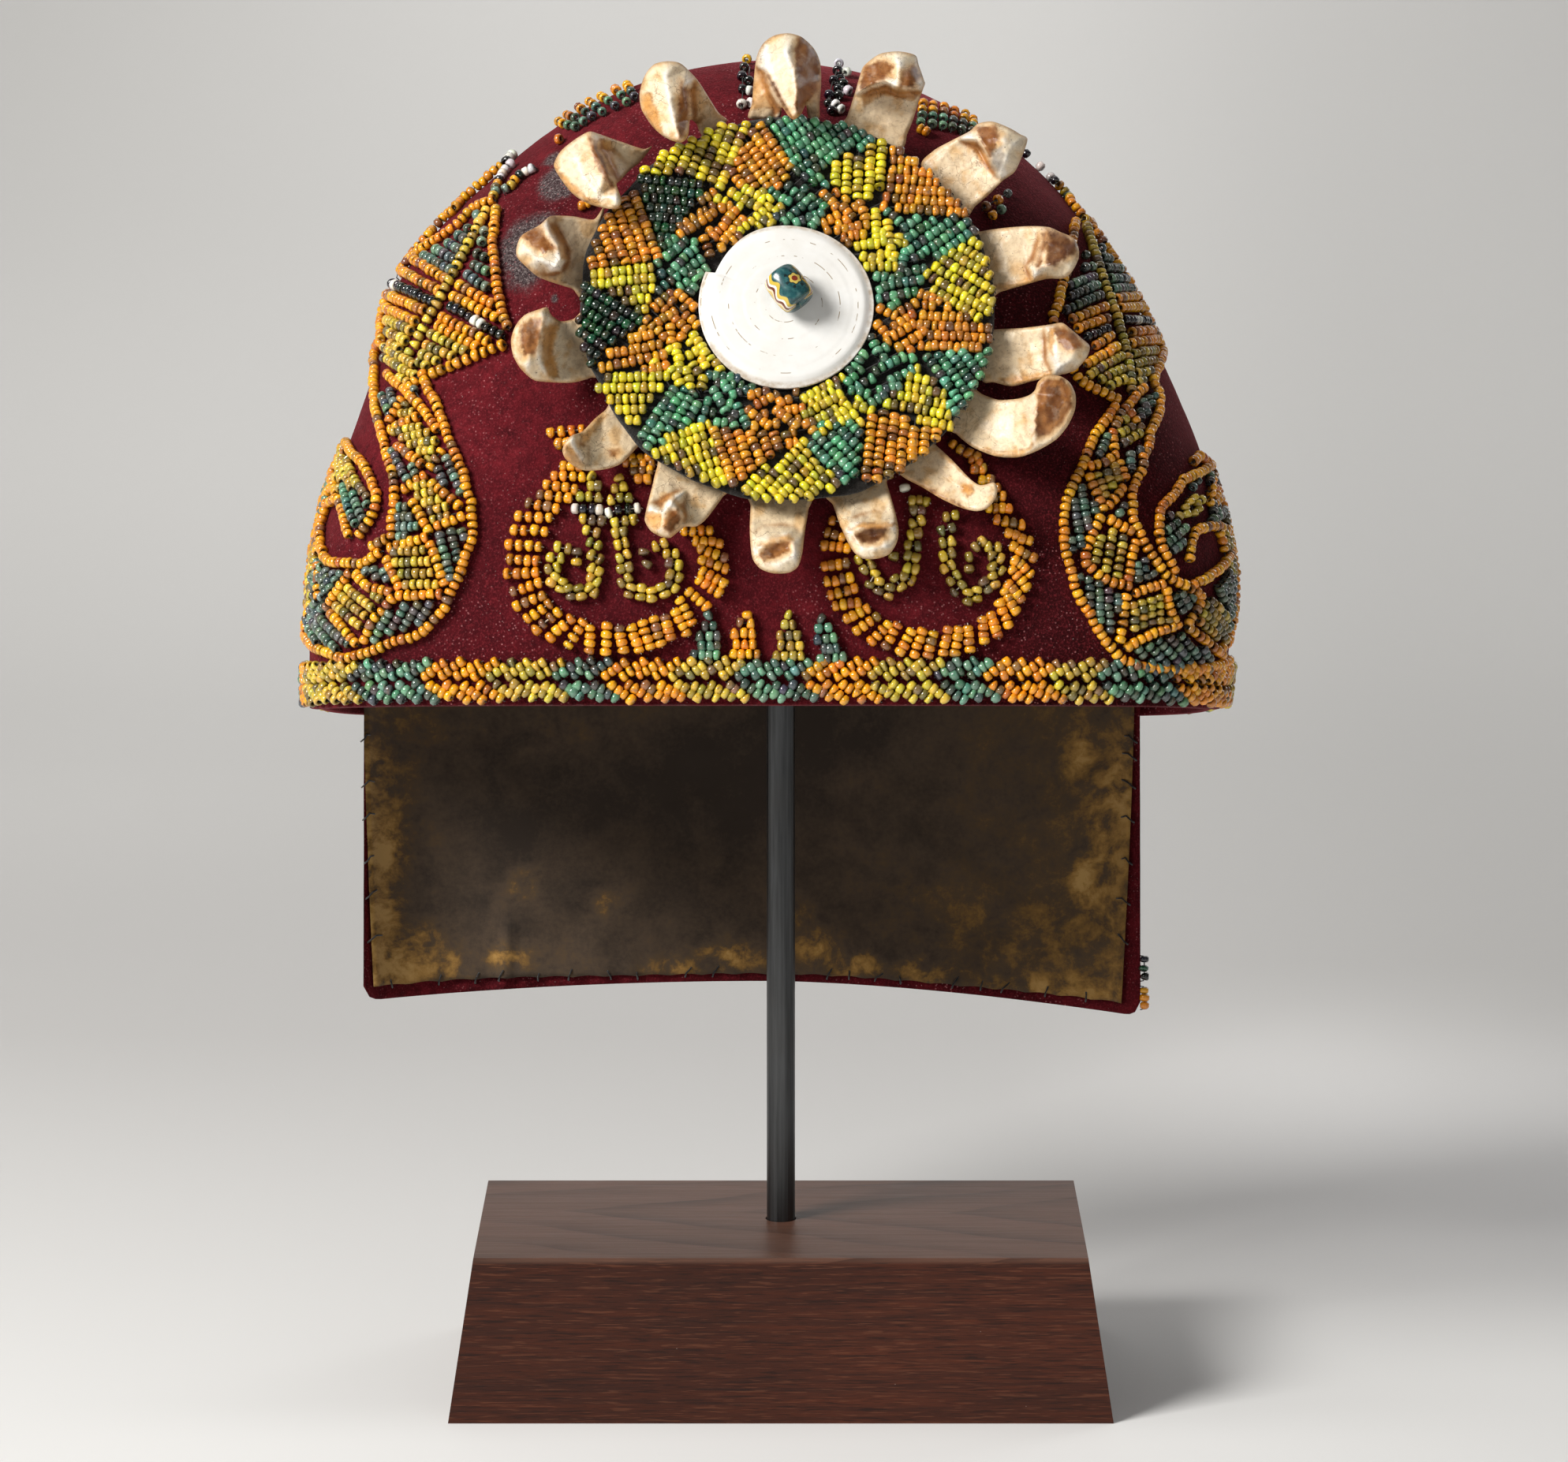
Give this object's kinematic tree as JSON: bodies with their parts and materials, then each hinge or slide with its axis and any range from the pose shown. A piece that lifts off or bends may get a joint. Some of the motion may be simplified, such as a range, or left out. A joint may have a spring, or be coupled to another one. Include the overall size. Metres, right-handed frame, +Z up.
{
  "type": "beaded headdress on stand",
  "caption": "Velvet cap with a neck flap and glass-bead motifs, its front rosette set with a shell disc and animal teeth, held up on a steel rod in a wood block.",
  "frame": {"origin": "centre of the base block's underside", "axes": "+Z up along the rod, -Y towards the front with the rosette, +X to the right as seen from the front"},
  "size_m": [0.2064, 0.148, 0.303],
  "materials": {
    "velvet": "worn velvet pile",
    "lining": "stained plain cotton",
    "black_cloth": "felted black cloth",
    "amber_beads": "opaque glossy seed beads",
    "olive_beads": "opaque glossy seed beads",
    "green_beads": "opaque glossy seed beads",
    "teal_bead": "opaque glass with trailed pattern",
    "shell": "polished white shell",
    "tooth": "worn ivory-coloured tooth",
    "dark_wood": "satin dark brown",
    "steel": "darkened satin"
  },
  "bodies": {
    "root": {"crown": "velvet", "neck_flap": "velvet", "flap_lining": "lining", "rim_band": "amber_beads", "flap_band": "amber_beads", "side_motif_left": "amber_beads", "side_motif_right": "amber_beads", "oval_ring_left": "amber_beads", "oval_ring_right": "amber_beads", "hook_left_outer": "olive_beads", "hook_left_inner": "olive_beads", "hook_right_inner": "olive_beads", "hook_right_outer": "olive_beads", "spike_1": "green_beads", "spike_2": "amber_beads", "spike_3": "olive_beads", "spike_4": "green_beads", "crest_left": "green_beads", "crest_right": "green_beads", "rosette_disc": "black_cloth", "rosette_beadwork": "amber_beads", "shell_disc": "shell", "centre_bead": "teal_bead", "base_block": "dark_wood", "rod": "steel", "tooth_01": "tooth", "tooth_02": "tooth", "tooth_03": "tooth", "tooth_04": "tooth", "tooth_05": "tooth", "tooth_06": "tooth", "tooth_07": "tooth", "tooth_08": "tooth", "tooth_09": "tooth", "tooth_10": "tooth", "tooth_11": "tooth", "tooth_12": "tooth", "tooth_13": "tooth", "tooth_14": "tooth", "tooth_15": "tooth"}
  },
  "joints": []
}
